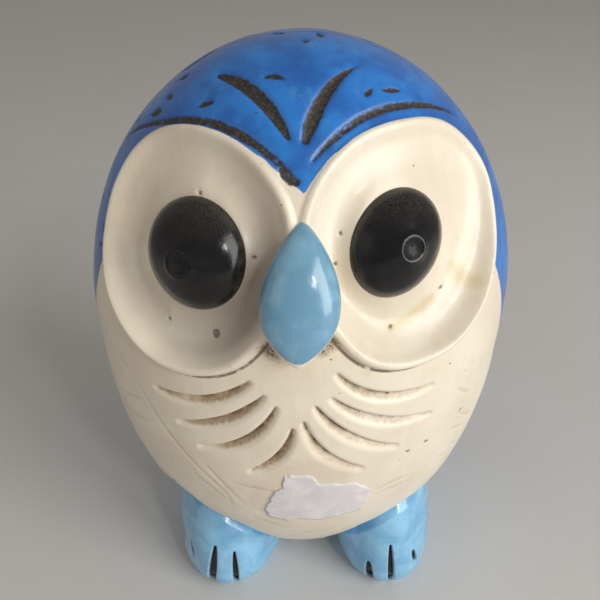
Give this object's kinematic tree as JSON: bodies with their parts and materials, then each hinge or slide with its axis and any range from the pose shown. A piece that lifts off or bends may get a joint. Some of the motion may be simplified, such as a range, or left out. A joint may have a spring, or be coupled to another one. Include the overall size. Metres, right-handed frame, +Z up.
{
  "type": "owl figurine",
  "caption": "Egg-shaped owl ornament with round dished face, domed eyes, teardrop beak, crescent chest marks and stub feet, standing on its soles.",
  "frame": {"origin": "on the standing plane, below the middle of the body", "axes": "+Z up through the crown, -Y the way the owl faces, +X towards the owl's own left"},
  "size_m": [0.1028, 0.0986, 0.15],
  "materials": {
    "cream_paint": "semi-gloss brushed paint, aged",
    "blue_paint": "semi-gloss brushed paint, dark in the carved marks",
    "black_glaze": "glossy, dusty at the top",
    "pale_blue_gloss": "glossy enamel",
    "label_paper": "matt torn paper"
  },
  "bodies": {
    "root": {"front_shell": "cream_paint", "back_shell": "blue_paint", "left_eye": "black_glaze", "right_eye": "black_glaze", "beak": "pale_blue_gloss", "left_foot": "pale_blue_gloss", "right_foot": "pale_blue_gloss", "label_remnant": "label_paper"}
  },
  "joints": []
}
